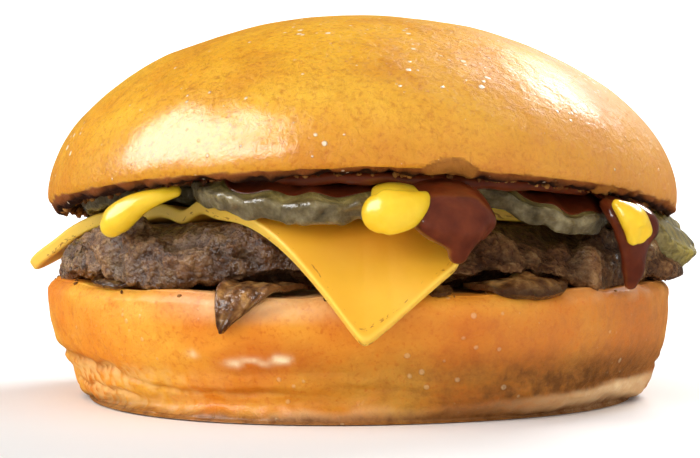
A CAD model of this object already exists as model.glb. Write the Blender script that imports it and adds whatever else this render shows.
import math
from functools import partial

import bpy
import numpy as np
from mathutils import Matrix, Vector


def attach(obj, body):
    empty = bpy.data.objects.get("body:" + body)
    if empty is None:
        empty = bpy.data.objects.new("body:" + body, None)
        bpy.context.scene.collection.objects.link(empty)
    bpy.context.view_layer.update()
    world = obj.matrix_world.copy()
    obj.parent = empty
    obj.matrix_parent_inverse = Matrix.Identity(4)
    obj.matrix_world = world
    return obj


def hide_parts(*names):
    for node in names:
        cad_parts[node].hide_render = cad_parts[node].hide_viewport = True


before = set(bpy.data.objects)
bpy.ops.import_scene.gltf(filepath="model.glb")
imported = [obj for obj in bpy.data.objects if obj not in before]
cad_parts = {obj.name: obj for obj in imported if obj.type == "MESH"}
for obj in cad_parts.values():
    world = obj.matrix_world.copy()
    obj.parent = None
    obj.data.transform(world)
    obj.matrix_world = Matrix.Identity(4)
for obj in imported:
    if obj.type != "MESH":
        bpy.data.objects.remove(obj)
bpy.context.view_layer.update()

print("frame:", len(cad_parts), "nodes")


# Camera, floor and lights. Sizes are in metres and light powers in watts.

view = {
    "lens": 66.0,                       # on a sensor 36 mm wide
    "place": (-0.0019, -0.231, 0.0231),
    "target": (-0.0019, 0.0, 0.0290),
    "nearest": 0.01,
}

studio = {
    "roomAbove": "#646464",
    "roomBelow": "#4A4540",
    "floorColour": "#FBFAF9",
    "floorRadius": 2.2,
    "sweepRadius": 1.0,
    "farGlow": 0.5,                     # lifts the floor to white away from the burger
    "centre": (0.0, 0.0, 0.035),        # what the lights are turned to
    # each soft box: azimuth and elevation seen from the burger, distance, width, height, watts
    "softBoxes": {
        "leftBox": (-72.0, 33.0, 0.90, 0.95, 0.85, 3.4),
        "rearRightBox": (140.0, 38.0, 0.80, 0.34, 0.16, 4.8),
        "lowBox": (-76.0, 11.0, 0.85, 0.20, 0.12, 0.35),
        "frontBox": (-38.0, 24.0, 0.85, 0.14, 0.14, 0.8),
    },
    # boxes that only add to the reflections, as a polished panel would
    "glintBoxes": {
        "leftGlint": (-70.0, 33.0, 0.90, 0.72, 0.62, 7.5),
    },
    # very soft fill, too diffuse to show as a reflection: azimuth, elevation, strength, width
    "fills": {
        "skyFill": (8.0, 62.0, 1.38, 80.0),
        "frontFill": (-16.0, 2.0, 1.10, 60.0),
        "rightFill": (62.0, 24.0, 0.55, 60.0),
    },
}


def hexColour(text):  # sRGB hex to linear
    parts = [int(text[i:i + 2], 16) / 255.0 for i in (1, 3, 5)]
    return tuple(c / 12.92 if c <= 0.04045 else ((c + 0.055) / 1.055) ** 2.4 for c in parts) + (1.0,)


def addNode(tree, kind, *settings):
    # Settings are sockets, by name or number, or else the node's own properties. A value may be a
    # link: a node, for its first output, or a node and an output. None is passed over.
    node = tree.nodes.new("ShaderNode" + kind)
    for key, value in [pair for part in settings for pair in part.items()]:
        source, output = value if isinstance(value, tuple) and len(value) == 2 else (value, 0)
        if isinstance(source, bpy.types.Node):
            tree.links.new(source.outputs[output], node.inputs[key])
        elif key == "stops":
            ramp = node.color_ramp.elements
            while len(ramp) < len(value):
                ramp.new(1.0)
            for element, (place, colour) in zip(ramp, value):
                element.position, element.color = place, hexColour(colour)
        elif isinstance(value, str) and value.startswith("#"):
            node.inputs[key].default_value = hexColour(value)
        elif value is not None and (isinstance(key, int) or key in node.inputs):
            node.inputs[key].default_value = value
        elif value is not None:
            setattr(node, key, value)
    return node


def startMaterial(name):  # also gives what adds a node to its tree, and the object's coordinates
    material = bpy.data.materials.new(name)
    material.use_nodes = True
    material.node_tree.nodes.clear()
    add = partial(addNode, material.node_tree)
    return material, add, (add("TexCoord"), "Object")


def finishMaterial(material, add, *settings):
    add("OutputMaterial", {"Surface": add("BsdfPrincipled", *settings)})
    return material


def paint(add, base, mark, colour, strength=1.0, uneven=1.0, blend="MIX"):
    # Lays a colour over the base as strongly as the mesh's mark, or another node, says.
    if isinstance(mark, str):
        mark = (add("Attribute", {"attribute_name": mark}), "Fac")
    share = add("Math", {"operation": "MULTIPLY", 0: mark, 1: uneven})
    share = add("Math", {"operation": "MULTIPLY", "use_clamp": True, 0: share, 1: strength})
    return add("Mix", {"data_type": "RGBA", "blend_type": blend, 0: share, 6: base, 7: colour}), 2


def makeCamera():
    data = bpy.data.cameras.new("camera")
    data.lens = view["lens"]
    data.clip_start = view["nearest"]
    camera = bpy.data.objects.new("camera", data)
    bpy.context.scene.collection.objects.link(camera)
    place, target = Vector(view["place"]), Vector(view["target"])
    camera.location = place
    camera.rotation_euler = (target - place).to_track_quat("-Z", "Y").to_euler()
    bpy.context.scene.camera = camera


def directionOf(azimuth, elevation):
    a, e = math.radians(azimuth), math.radians(elevation)
    return Vector((math.sin(a) * math.cos(e), -math.cos(a) * math.cos(e), math.sin(e)))


def addLight(name, kind, azimuth, elevation, distance, **settings):
    data = bpy.data.lights.new(name, kind)
    for key, value in settings.items():
        setattr(data, key, value)
    light = bpy.data.objects.new(name, data)
    bpy.context.scene.collection.objects.link(light)
    way = directionOf(azimuth, elevation)
    light.location = Vector(studio["centre"]) + way * distance
    light.rotation_euler = way.to_track_quat("Z", "Y").to_euler()
    return light


def makeStudio():
    scene = bpy.context.scene
    scene.view_settings.view_transform = "Standard"
    scene.world = bpy.data.worlds.new("paleRoom")
    scene.world.use_nodes = True
    tree = scene.world.node_tree
    way = addNode(tree, "SeparateXYZ", {0: (addNode(tree, "TexCoord"), "Generated")})
    share = addNode(tree, "MapRange", {"Value": (way, "Z"), "From Min": -0.08, "From Max": 0.02})
    below, above = studio["roomBelow"], studio["roomAbove"]
    room = addNode(tree, "Mix", {"data_type": "RGBA", 0: share, 6: below, 7: above})
    tree.links.new(room.outputs[2], tree.nodes["Background"].inputs["Color"])
    boxes = studio["softBoxes"] | studio["glintBoxes"]
    for name, (azimuth, elevation, distance, width, height, watts) in boxes.items():
        light = addLight(name, "AREA", azimuth, elevation, distance,
                         shape="RECTANGLE", size=width, size_y=height, energy=watts)
        light.visible_diffuse = name in studio["softBoxes"]
    for name, (azimuth, elevation, strength, width) in studio["fills"].items():
        light = addLight(name, "SUN", azimuth, elevation, 1.0, energy=strength, angle=math.radians(width))
        light.visible_glossy = False


# Shapes. Every piece is a closed skin of rings, from one pole to the other, as an array of rows
# by columns by three. Azimuth 0 is the front of the burger, and it grows towards +X.

def smoothStep(value, low, high):
    t = np.clip((value - low) / (high - low), 0.0, 1.0)
    return t * t * (3.0 - 2.0 * t)


def turnBetween(first, second):  # in degrees, the short way round
    return np.abs((first - second + 180.0) % 360.0 - 180.0)


def bumpAt(azimuth, centre, spread):
    return np.exp(-((turnBetween(azimuth, centre) / spread) ** 2))


def polarPoint(azimuth, radius, height):
    a = np.radians(azimuth)
    return np.stack(np.broadcast_arrays(radius * np.sin(a), -radius * np.cos(a), height), axis=-1)


def azimuthOf(points):
    return np.degrees(np.arctan2(points[..., 0], -points[..., 1]))


def turns(count):  # azimuths all the way round, as one row
    return np.linspace(0.0, 360.0, count, endpoint=False)[None, :]


def flatPoint(x, y):
    return np.stack(np.broadcast_arrays(x, y, 0.0), axis=-1)


def latticeValue(corner, seed):  # a repeatable number from 0 to 1 for each whole-number corner
    x, y, z = corner[..., 0], corner[..., 1], corner[..., 2]
    mixed = (x * 73856093) ^ (y * 19349663) ^ (z * 83492791) ^ (seed * 2654435)
    for shift in (13, 16, 15):
        mixed = (mixed ^ (mixed >> shift)) & 0xFFFFFFFF
        mixed = (mixed * 1103515245 + 12345) & 0xFFFFFFFF
    return (mixed >> 8) / 16777216.0


def cloudNoise(points, size, seed=0):  # soft lumps of this size, from -1 to 1
    spots = points / size + 31.7
    corner = np.floor(spots).astype(np.int64)
    part = spots - corner
    fade = part**3 * (part * (part * 6.0 - 15.0) + 10.0)
    total = np.zeros(points.shape[:-1])
    for k in range(8):
        step = np.array(((k >> 2) & 1, (k >> 1) & 1, k & 1))
        weight = np.prod(np.where(step == 1, fade, 1.0 - fade), axis=-1)
        total += weight * latticeValue(corner + step, seed)
    return 2.0 * total - 1.0


def layered(points, *layers):  # soft lumps in layers, each a size, a height and a seed
    return sum(height * cloudNoise(points, size, seed) for size, height, seed in layers)


def pebbleNoise(points, size, seed=0):
    # For pebbles of this size: how much farther the second centre is than the nearest one, in
    # pebble sizes, and a number from 0 to 1 that the nearest pebble keeps.
    spots = points / size + 57.3
    corner = np.floor(spots).astype(np.int64)
    nearest, second = np.full(points.shape[:-1], 9.0), np.full(points.shape[:-1], 9.0)
    pick = np.zeros(points.shape[:-1])
    for k in range(27):
        cell = corner + np.array((k // 9 - 1, k // 3 % 3 - 1, k % 3 - 1))
        centre = cell + np.stack([latticeValue(cell, seed + i) for i in (1, 2, 3)], axis=-1)
        away = np.linalg.norm(spots - centre, axis=-1)
        closer = away < nearest
        second = np.where(closer, nearest, np.minimum(second, away))
        pick = np.where(closer, latticeValue(cell, seed + 4), pick)
        nearest = np.minimum(nearest, away)
    return second - nearest, pick


def outwards(rings):  # the unit normals of a closed skin
    around = np.roll(rings, -1, axis=1) - np.roll(rings, 1, axis=1)
    normal = np.cross(around, np.gradient(rings, axis=0))
    normal *= np.sign(np.sum(normal * (rings - rings.mean(axis=(0, 1)))))
    return normal / np.maximum(np.linalg.norm(normal, axis=-1, keepdims=True), 1e-15)


def pushOut(rings, amount):  # moves each point along its normal, and keeps the poles smooth
    moved = rings + outwards(rings) * amount[..., None]
    moved[0], moved[-1] = moved[1].mean(axis=0), moved[-2].mean(axis=0)
    return moved


def rowsBetween(*stretches):  # evenly spaced values along stretches of (start, end, steps)
    parts = [np.linspace(start, end, steps, endpoint=False) for start, end, steps in stretches]
    return np.concatenate(parts + [[stretches[-1][1]]])


def curveThrough(points, counts):
    # A smooth curve through rows of points, with as many steps in each gap as counts says.
    before = np.concatenate([points[:1], points, points[-1:]])
    rows = []
    for k, count in enumerate(counts):
        a, b, c, d = before[k], before[k + 1], before[k + 2], before[k + 3]
        for t in np.arange(count) / count:
            rows.append(0.5 * (2.0 * b + (c - a) * t + (2.0 * a - 5.0 * b + 4.0 * c - d) * t**2
                               + (3.0 * b - a - 3.0 * c + d) * t**3))
    return np.stack(rows + [points[-1]])


def skinFaces(rings):  # the points of a closed skin, and its faces, all facing out
    rows, columns = rings.shape[:2]
    points = np.concatenate([rings[0, :1], rings[1:-1].reshape(-1, 3), rings[-1, :1]])
    body = 1 + np.arange((rows - 2) * columns).reshape(rows - 2, columns)
    beside = np.roll(body, -1, axis=1)
    first, last = np.zeros(columns, int), np.full(columns, len(points) - 1)
    faces = [
        np.stack([first, body[0], beside[0]], axis=-1),
        np.stack([body[:-1], body[1:], beside[1:], beside[:-1]], axis=-1).reshape(-1, 4),
        np.stack([last, beside[-1], body[-1]], axis=-1),
    ]
    quads = points[faces[1]] - points.mean(axis=0)
    volume = np.sum(np.cross(quads[:, 2] - quads[:, 0], quads[:, 3] - quads[:, 1]) * quads[:, 0])
    return points, faces if volume > 0.0 else [face[:, ::-1] for face in faces]


def newPiece(name, points, faces, material):
    corners = np.concatenate([face.ravel() for face in faces])
    sizes = np.concatenate([np.full(len(face), face.shape[1]) for face in faces])
    mesh = bpy.data.meshes.new(name)
    mesh.vertices.add(len(points))
    mesh.vertices.foreach_set("co", points.ravel())
    mesh.loops.add(len(corners))
    mesh.loops.foreach_set("vertex_index", corners.astype(np.int32))
    mesh.polygons.add(len(sizes))
    mesh.polygons.foreach_set("loop_start", (np.cumsum(sizes) - sizes).astype(np.int32))
    mesh.update(calc_edges=True)
    mesh.validate()
    mesh.shade_smooth()
    mesh.materials.append(material)
    piece = bpy.data.objects.new(name, mesh)
    bpy.context.scene.collection.objects.link(piece)
    return piece


def skinMesh(name, rings, material, marks=None):
    # The closed skin as an object. Marks are named values for each point, for the material.
    piece = newPiece(name, *skinFaces(rings), material)
    for key, values in (marks or {}).items():
        values = np.broadcast_to(values, rings.shape[:2])
        values = np.concatenate([values[0, :1], values[1:-1].ravel(), values[-1, :1]])
        mark = piece.data.attributes.new(key, "FLOAT", "POINT")
        mark.data.foreach_set("value", values.astype(np.float32))
    return piece


def joinSkins(skins):  # the points and faces of several skins, for one mesh
    points, faces, count = [], [], 0
    for rings in skins:
        skinPoints, skinSides = skinFaces(rings)
        points.append(skinPoints)
        faces += [side + count for side in skinSides]
        count += len(skinPoints)
    return np.concatenate(points), faces


def fuseSkins(name, skins, grain, softening, material):
    # One piece from skins that overlap, run together as thick sauce does.
    piece = newPiece(name, *joinSkins(skins), material)
    fuse = piece.modifiers.new("fuse", "REMESH")
    fuse.mode, fuse.voxel_size, fuse.use_smooth_shade = "VOXEL", grain, True
    soften = piece.modifiers.new("soften", "SMOOTH")
    soften.factor, soften.iterations = 0.5, softening
    fused = bpy.data.meshes.new_from_object(piece.evaluated_get(bpy.context.evaluated_depsgraph_get()))
    piece.modifiers.clear()
    piece.data = fused
    return piece


def roughen(piece, *layers):  # moves a mesh along its normals by layers of soft lumps
    vertices = piece.data.vertices
    points, normals = np.empty((len(vertices), 3)), np.empty((len(vertices), 3))
    vertices.foreach_get("co", points.ravel())
    vertices.foreach_get("normal", normals.ravel())
    points += normals * layered(points, *layers)[:, None]
    vertices.foreach_set("co", points.ravel())
    piece.data.update()


def settle(piece, slot, *nodes):  # the piece goes with the burger's one body
    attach(piece, "root")
    if nodes:
        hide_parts(*nodes)
    return piece


# Layers that lie on the patty and bend down over its edge.

stack = {
    "gap": 0.0004,
    "cheeseTop": 0.0317,
    "cheeseThickness": 0.0022,
    "cheeseSide": 0.0889,
    "cheeseTip": 0.0670,         # from the middle to the corner at the front, laid flat
    "cheeseTurn": -5.0,
    # How far the cheese lies flat, the radius it bends over and the angle it falls at
    "bendRest": (0.0440, 0.0120, 25.0),
    # and the same at its corners: azimuth, the three values, and the angle they fade over
    "bendCorners": (
        (1.5, 0.0410, 0.0090, 61.0, 17.0), (-90.0, 0.0417, 0.0180, 34.0, 30.0),
        (38.0, 0.0392, 0.0110, 33.0, 17.0), (143.0, 0.0392, 0.0110, 33.0, 17.0),
        (-143.0, 0.0392, 0.0110, 33.0, 17.0), (88.0, 0.0400, 0.0120, 40.0, 24.0),
        (178.0, 0.0430, 0.0080, 50.0, 20.0),
    ),
}


def bendAt(azimuth):
    weights = [bumpAt(azimuth, row[0], row[4]) for row in stack["bendCorners"]]
    rest = np.maximum(0.0, 1.0 - sum(weights))
    total = rest + sum(weights)
    return [
        (rest * stack["bendRest"][i] + sum(w * row[i + 1] for w, row in zip(weights, stack["bendCorners"])))
        / total for i in range(3)
    ]


def drapedPoint(x, y, level, middle=0.0, mostFall=90.0, leastFall=0.0):
    # Where a point of a layer laid flat at (x, y) ends up once the layer hangs over the patty. It
    # bends about its middle, and falls at an angle between the least and the most.
    radius, azimuth = np.hypot(x, y), np.degrees(np.arctan2(x, -y))
    start, arc, fall = bendAt(azimuth)
    fall = np.radians(np.clip(fall, leastFall, mostFall))
    beyond = np.maximum(0.0, radius - start)
    turn = np.minimum(fall, beyond / (arc + middle))
    straight = np.maximum(0.0, beyond - (arc + middle) * fall)
    out = np.minimum(radius, start) + (arc + level) * np.sin(turn) + straight * np.cos(fall)
    height = stack["cheeseTop"] - arc + (arc + level) * np.cos(turn) - straight * np.sin(fall)
    return polarPoint(azimuth, out, height)


def cheeseHeight(radius, azimuth, drop=0.0):  # the draped cheese's top, or a drop below it
    start, arc, fall = bendAt(azimuth)
    fall, inner = np.radians(fall), arc - drop
    centre = stack["cheeseTop"] - arc
    beyond = np.maximum(0.0, radius - start)
    bent = centre + np.sqrt(np.maximum(0.0, inner**2 - beyond**2))
    slanted = centre + inner * np.cos(fall) - (beyond - inner * np.sin(fall)) * np.tan(fall)
    return np.where(beyond <= inner * np.sin(fall), bent, slanted)


def sliceSpot(u, v):  # (u, v) run from -1 to 1 over the slice, and (-1, -1) is the front corner
    half = 0.5 * stack["cheeseSide"]
    turn = math.radians(45.0 + stack["cheeseTurn"])
    du, dv = half * (u + 1.0), half * (v + 1.0)
    x = du * math.cos(turn) - dv * math.sin(turn)
    y = du * math.sin(turn) + dv * math.cos(turn) - stack["cheeseTip"]
    left = 1.0 + 0.12 * smoothStep(-x, 0.020, 0.058)
    right = 1.0 - 0.30 * smoothStep(x, 0.008, 0.034)
    return x * np.where(x < 0.0, left, right), y


def squareWalk(perSide):  # once round a square that reaches from -1 to 1, in equal steps
    ticks = np.linspace(-1.0, 1.0, perSide, endpoint=False)
    ones = np.ones_like(ticks)
    return np.concatenate([ticks, ones, -ticks, -ones]), np.concatenate([-ones, ticks, ones, -ticks])


def cheeseReach(azimuth):  # how far the draped slice reaches at each azimuth
    edge = drapedPoint(*sliceSpot(*squareWalk(60)), 0.0)
    apart = turnBetween(azimuthOf(edge)[:, None], azimuth[None, :])
    return np.hypot(edge[:, 0], edge[:, 1])[np.argmin(apart, axis=0)]


# The bun: soft white bread with an egg-washed crust, baked golden.

crown = {
    "radius": 0.055,
    "top": 0.066,
    "lipMean": 0.0333,
    "lipSwing": 0.0020,
    "curlHeight": 0.0024,
    "curlInset": 0.0026,
    "fullness": 1.96,
    "pinch": 0.020,
    "underside": 0.0374,
    "undersideStart": 0.0435,
    "columns": 560,
    "domeRows": 92,
    "curlRows": 22,
    "sharpSide": (90.0, 30.0),   # azimuth and spread of the side where the lip curls in less
    "undersideRows": ((0.995, 0.80, 42), (0.80, 0.0, 14)),
    # relief, in layers of lump size, height and seed: all over, and only on the baked skin
    "swells": ((0.022, 0.00045, 3),),
    "skinSwells": ((0.009, 0.00020, 4), (0.0034, 0.00006, 17)),
    "sunken": 0.00035,           # how deep the bare bread lies in a torn place
    "browning": 0.48,            # how brown the crust gets towards its lip
    # torn places in the lip: azimuths of the two ends and of the highest point, its height, and how
    # far the crumb hangs below
    "tears": ((8.5, 17.5, 14.0, 0.0021, 0.0003), (40.0, 45.5, 43.0, 0.0006, 0.0003),
              (205.0, 216.0, 209.0, 0.0025, 0.0007), (116.0, 124.0, 121.0, 0.0018, 0.0005)),
}


def crownLip(azimuth):
    a = np.radians(azimuth)
    return crown["lipMean"] + crown["lipSwing"] * np.cos(2.0 * a) - 0.0002 * np.sin(a)


def crownInset(azimuth):
    return crown["curlInset"] - 0.0014 * bumpAt(azimuth, *crown["sharpSide"])


def crownUnderside(radius, azimuth):
    lipRadius = crown["radius"] - crownInset(azimuth)
    drop = smoothStep(radius, crown["undersideStart"], lipRadius + 0.003)
    drop = drop / smoothStep(lipRadius, crown["undersideStart"], lipRadius + 0.003)
    return crown["underside"] - (crown["underside"] - crownLip(azimuth)) * drop


def makeCrown(material):
    azimuth = turns(crown["columns"])
    curl = crown["curlHeight"] - 0.0008 * np.cos(2.0 * np.radians(azimuth))
    curl = curl - 0.0010 * bumpAt(azimuth, *crown["sharpSide"])
    inset = crownInset(azimuth)
    widest = crownLip(azimuth) + curl
    power = 2.0 / crown["fullness"]
    t = np.linspace(0.0, np.pi / 2.0, crown["domeRows"])[:, None]
    domeRadius = crown["radius"] * np.sin(t) ** power * (1.0 - crown["pinch"] * np.sin(2.0 * t) ** 2)
    dome = polarPoint(azimuth, domeRadius, widest + (crown["top"] - widest) * np.cos(t) ** power)
    t = np.linspace(0.0, np.pi / 2.0, crown["curlRows"] + 1)[1:, None]
    lip = polarPoint(azimuth, crown["radius"] - inset * (1.0 - np.cos(t)), widest - curl * np.sin(t))
    inner = (crown["radius"] - inset) * rowsBetween(*crown["undersideRows"])[:, None]
    rings = np.concatenate([dome, lip, polarPoint(azimuth, inner, crownUnderside(inner, azimuth))])

    # Where the bread is bare: under the lip, and in the torn places
    row, lipRow = np.arange(len(rings))[:, None], crown["domeRows"]
    radius, height = np.hypot(rings[..., 0], rings[..., 1]), rings[..., 2]
    ragged = layered(rings, (0.0030, 0.6, 5), (0.0011, 0.4, 6))
    below = smoothStep(row - lipRow + 5.0 * ragged, 5.5, 8.5)
    torn, hang = np.zeros_like(ragged), np.zeros_like(ragged)
    for start, end, peak, rise, drop in crown["tears"]:
        turn = (azimuth - start + 20.0) % 360.0 - 20.0
        part = np.interp(turn, (0.0, peak - start, end - start), (0.0, 1.0, 0.0))
        edge = crownLip(azimuth) + 0.0008 + rise * (part + 0.25 * ragged * smoothStep(part, 0.0, 0.3))
        inside = smoothStep(edge - height, -0.00015, 0.00025) * smoothStep(part, 0.0, 0.15)
        torn = np.maximum(torn, inside)
        hang = np.maximum(hang, drop * part * (0.6 + 0.8 * np.abs(ragged)))
    torn = torn * smoothStep(row, 0.48 * lipRow, 0.56 * lipRow)
    bread = np.maximum(below, torn)

    # The skin swells softly, and the bare bread is crumbly and a little sunk
    crumbly = (0.00050 * bread - 0.00028 * torn) * layered(rings, (0.0026, 0.6, 1), (0.0011, 0.5, 2))
    relief = layered(rings, *crown["swells"]) + crumbly * smoothStep(radius, 0.030, 0.040)
    relief += layered(rings, *crown["skinSwells"]) * (1.0 - bread)
    relief -= crown["sunken"] * torn + 0.00025 * below * (1.0 - torn)
    rings = pushOut(rings, relief)
    lipZone = smoothStep(radius, 0.0485, 0.0512) * smoothStep(row, lipRow - 4, lipRow + 14)
    rings[..., 2] -= (hang + 0.0007 * (0.35 + ragged)) * lipZone * (row < len(rings) - 20)

    height = rings[..., 2]
    baked = crown["browning"] + 0.08 * bumpAt(azimuth, -76.0, 22.0) + 0.3 * bumpAt(azimuth, 180.0, 60.0)
    marks = {
        "bread": bread,
        "torn": torn,
        "browned": smoothStep(crownLip(azimuth) - height, -0.0130, 0.0) * baked,
        "pale": bumpAt(azimuth, 62.0, 42.0) * smoothStep(-height, -0.062, -0.046),
        "toasted": bread * smoothStep(row, lipRow + 7, lipRow + 18) * (1.0 - torn),
    }
    return settle(skinMesh("crownCrust", rings, material, marks), "bun_crust", "bun_crown")


heel = {
    "top": 0.0192,
    "rimSwing": 0.0011,
    "radius": 0.0540,
    "shoulder": 0.0024,
    "footRadius": 0.0452,
    "creaseHeight": 0.0060,
    "columns": 440,
    # folds in the side: azimuths and heights of both ends, depth and half width
    "folds": (
        (-104.0, -38.0, 0.0100, 0.0052, 0.0010, 0.0007),
        (-62.0, -30.0, 0.0078, 0.0040, 0.0006, 0.0004),
        (-44.0, -6.0, 0.0050, 0.0032, 0.0005, 0.0005),
        (-28.0, 4.0, 0.0072, 0.0060, 0.0002, 0.0005),
        (-10.0, 34.0, 0.0040, 0.0052, 0.0002, 0.0005),
        (30.0, 92.0, 0.0030, 0.0070, 0.0004, 0.0005),
        (70.0, 170.0, 0.0082, 0.0052, 0.0009, 0.0007),
        (140.0, 268.0, 0.0062, 0.0090, 0.0009, 0.0007),
        (176.0, 232.0, 0.0034, 0.0046, 0.0007, 0.0005),
        (-78.0, -40.0, 0.0034, 0.0022, 0.0006, 0.0004),
    ),
    # relief, in layers of lump size, height and seed
    "swells": ((0.018, 0.0005, 6), (0.006, 0.00022, 7), (0.0016, 0.00008, 8)),
    "foldDepth": 0.8,            # how much of their depth the folds get
    # spots where the side catches the light: azimuth, spread and height
    "shines": ((-18.5, 3.2, 0.0086), (-13.0, 2.2, 0.0090), (-26.0, 2.0, 0.0096)),
}


def heelRadius(azimuth):
    swell = 0.0005 * bumpAt(azimuth, -90.0, 40.0)
    return heel["radius"] + swell - 0.0022 * bumpAt(azimuth, 0.0, 14.0)


def heelTop(radius, azimuth):
    swing = heel["rimSwing"] * np.cos(2.0 * np.radians(azimuth))
    return heel["top"] - (swing - 0.0002) * smoothStep(radius, 0.036, 0.050)


def heelFolds(azimuth, height):  # how deep the folds go at each point of the side
    wander = layered(polarPoint(azimuth, heel["radius"], 0.0), (0.012, 0.0010, 14), (0.004, 0.0005, 15))
    depth = np.zeros_like(height)
    for start, end, low, high, deep, wide in heel["folds"]:
        along = ((azimuth - start) % 360.0) / (end - start)
        ends = smoothStep(along, 0.0, 0.22) * smoothStep(-along, -1.0, -0.78)
        off = (height - low - (high - low) * along - wander) / wide
        depth = np.maximum(depth, deep * ends * np.exp(np.where(off > 0.0, -0.35, -2.6) * off**2))
    return depth


def makeHeel(material):
    azimuth = turns(heel["columns"])
    around, shoulder = azimuth[0], heel["shoulder"]
    a = np.radians(around)
    wide = heelRadius(around)
    flat = wide - shoulder
    sag = 0.0007 * np.sin(3.0 * a + 0.6)
    crease = heel["creaseHeight"] + 0.0012 * np.sin(2.0 * a + 1.1)
    pinch = 0.0012 * bumpAt(around, -80.0, 35.0)
    foot = heel["footRadius"] + 0.0034 * bumpAt(around, -24.0, 34.0)
    # radius and height, from the middle of the top to the middle of the foot
    points = [(share * flat, heelTop(share * flat, around)) for share in (0.0, 0.4, 0.72, 0.86, 1.0)]
    top = points[-1][1]
    points += [(wide - shoulder * (1.0 - math.sin(t)), top - shoulder * (1.0 - math.cos(t)))
               for t in (np.pi / 6.0, np.pi / 3.0, np.pi / 2.0)]
    points += [
        (wide - 0.0002 - 0.2 * pinch, 0.0136),
        (wide - 0.0012 - pinch, crease + 0.0036),
        (wide - 0.0026 - 1.6 * pinch, crease + 0.0006),
        (wide - 0.0033 + 0.4 * sag - 1.7 * pinch, crease - 0.0016),
        (wide - 0.0044 + sag - 1.8 * pinch, crease - 0.0038),
        (foot + 0.0016, 0.0006),
        (foot, 0.0),
        (0.5 * foot, 0.0),
        (0.0 * foot, 0.0),
    ]
    profile = np.stack([np.stack(np.broadcast_arrays(*p), axis=-1) for p in points])
    profile = curveThrough(profile, (3, 4, 8, 14, 7, 7, 7, 14, 22, 16, 14, 16, 14, 6, 4, 3))
    radius, height = profile[..., 0], np.maximum(profile[..., 1], 0.0)
    radius[[0, -1]] = 0.0
    rings = polarPoint(azimuth, radius, height)

    folds = heelFolds(azimuth, height)
    torn = bumpAt(azimuth, -56.0, 24.0) * smoothStep(-height, -0.0085, -0.0060)
    torn = torn * smoothStep(radius, 0.044, 0.047)
    streaks = np.abs(cloudNoise(rings * np.array((1.0, 1.0, 0.25)), 0.0014, 11))
    rim = smoothStep(radius, 0.044, 0.049) * smoothStep(height, 0.0165, 0.0180)
    flaky = rim * smoothStep(cloudNoise(rings, 0.0034, 12), 0.1, 0.5) * (0.3 + bumpAt(azimuth, 46.0, 16.0))
    creased = layered(rings * np.array((1.0, 1.0, 1.8)), (0.0038, 0.00022, 9))
    creased = creased + layered(rings, (0.0013, 0.00016, 10))
    relief = layered(rings, *heel["swells"])
    relief += smoothStep(-height, -0.0085, -0.004) * creased + 0.00025 * flaky
    relief -= heel["foldDepth"] * folds + 0.0005 * torn * streaks
    rings = pushOut(rings, relief * smoothStep(radius, 0.040, 0.046) * smoothStep(height, 0.0, 0.0012))
    rings[..., 2] = np.maximum(rings[..., 2], 0.0)

    turn = azimuthOf(rings)
    edge = 0.0022 + 0.00004 * np.clip(turn, -20.0, 80.0) + layered(rings, (0.006, 0.0006, 16))
    band = bumpAt(azimuth, 54.0, 24.0) + 0.6 * bumpAt(azimuth, -14.0, 18.0)
    band = band * smoothStep(edge - height, -0.0004, 0.0008)
    shine = 0.6 * bumpAt(azimuth, -17.0, 13.0) * smoothStep(height, 0.0135, 0.0165)
    for centre, spread, level in heel["shines"]:
        spot = bumpAt(azimuth, centre, spread) * np.exp(-(((height - level) / 0.0007) ** 2))
        shine = np.maximum(shine, 1.7 * spot * smoothStep(cloudNoise(rings, 0.0024, 13), -0.5, 0.3))
    drip = height - 0.0178 - 0.00031 * (turn + 9.3)
    deep = smoothStep(cloudNoise(rings, 0.017, 18), 0.0, 0.7) + 1.3 * bumpAt(azimuth, 19.0, 15.0)
    marks = {
        "folds": folds / 0.0012,
        "pale": np.maximum(0.8 * band, 0.1 * flaky),
        "under": smoothStep(-height, -0.0022, -0.0006),
        "shine": shine,
        "dull": bumpAt(azimuth, 58.0, 40.0),
        "torn": torn * smoothStep(streaks, 0.08, 0.42),
        "brown": bumpAt(azimuth, 40.0, 42.0) * smoothStep(-height, -0.0120, -0.0060) * (1.0 - 0.8 * band),
        "deep": deep * smoothStep(-np.abs(height - 0.0115), -0.0060, -0.0020),
        "caramel": np.exp(-((drip / 0.0011) ** 2)) * bumpAt(azimuth, -15.0, 5.5),
        "bread": smoothStep(-radius, -0.0500, -0.0470) * smoothStep(height, 0.0150, 0.0170),
    }
    return settle(skinMesh("heelCrust", rings, material, marks), "bun_crust", "bun_heel")


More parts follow.
